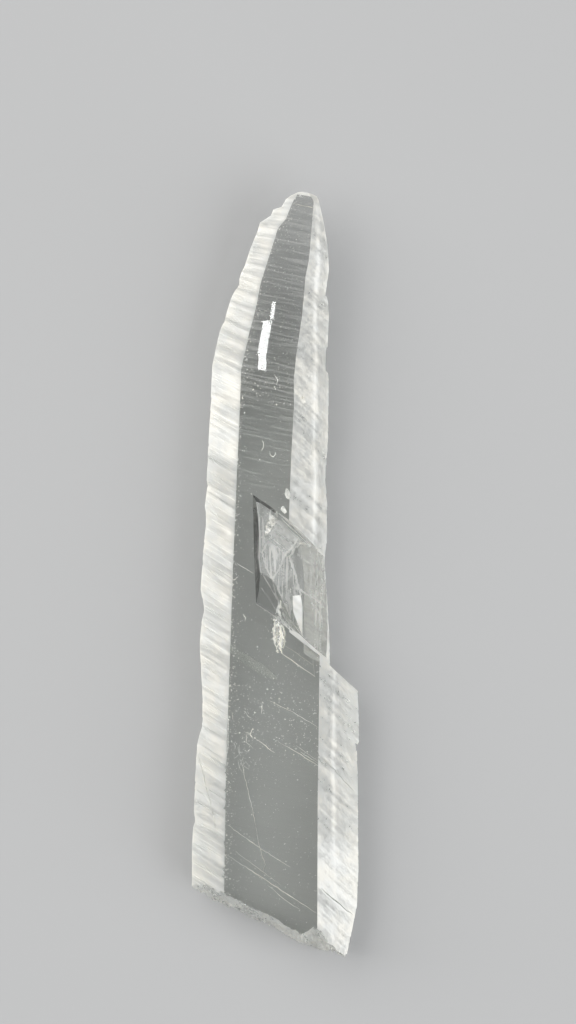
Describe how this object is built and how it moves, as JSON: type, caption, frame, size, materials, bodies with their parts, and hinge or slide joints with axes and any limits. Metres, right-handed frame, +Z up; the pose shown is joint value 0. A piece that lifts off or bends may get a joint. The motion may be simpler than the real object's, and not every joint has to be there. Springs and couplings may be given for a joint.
{
  "type": "nifontovite specimen",
  "caption": "Clear bladed mineral crystal with bevelled, ledged sides, a stepped shoulder and a split-out recess, lying on its flat back face.",
  "frame": {"origin": "on the resting plane, under the middle of the blade's bounding box", "axes": "+Y runs along the blade from its broken base to its thin tip, +Z points up out of the front face, +X points to the blade's right side, where the shoulder is"},
  "size_m": [0.0192, 0.088, 0.0085],
  "materials": {
    "clear_crystal": "clear glassy faces with frosted, striated bevels"
  },
  "bodies": {
    "root": {"crystal": "clear_crystal"}
  },
  "joints": []
}
